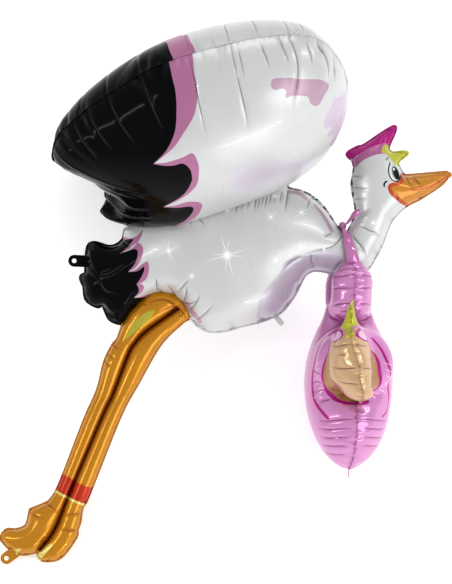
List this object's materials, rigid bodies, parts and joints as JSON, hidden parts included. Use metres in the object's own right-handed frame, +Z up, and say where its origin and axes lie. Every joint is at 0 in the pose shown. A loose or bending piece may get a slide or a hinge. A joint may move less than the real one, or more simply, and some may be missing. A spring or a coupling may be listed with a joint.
{
  "type": "stork foil balloon",
  "caption": "Inflated foil stork with spread wings and trailing legs, and a swaddled baby in a bundle tied under its neck.",
  "frame": {"origin": "on the floor, under the middle of the box of the figure as it lies on its far side", "axes": "+Z up. The bird lies on its far side: its beak points along +X, and what is up in flight points along +Y"},
  "size_m": [1.1726, 1.4532, 0.8801],
  "materials": {
    "white_foil": "pearly white foil, gloss",
    "wing_foil": "pearly white foil with black and pink print, gloss",
    "leg_foil": "gold metallised foil",
    "pink_foil": "pink metallised foil, gloss",
    "ribbon_foil": "pink foil ribbon, gloss"
  },
  "bodies": {
    "root": {"body": "white_foil", "wings": "wing_foil", "legs": "leg_foil", "bundle": "pink_foil", "ribbon": "ribbon_foil"}
  },
  "joints": []
}
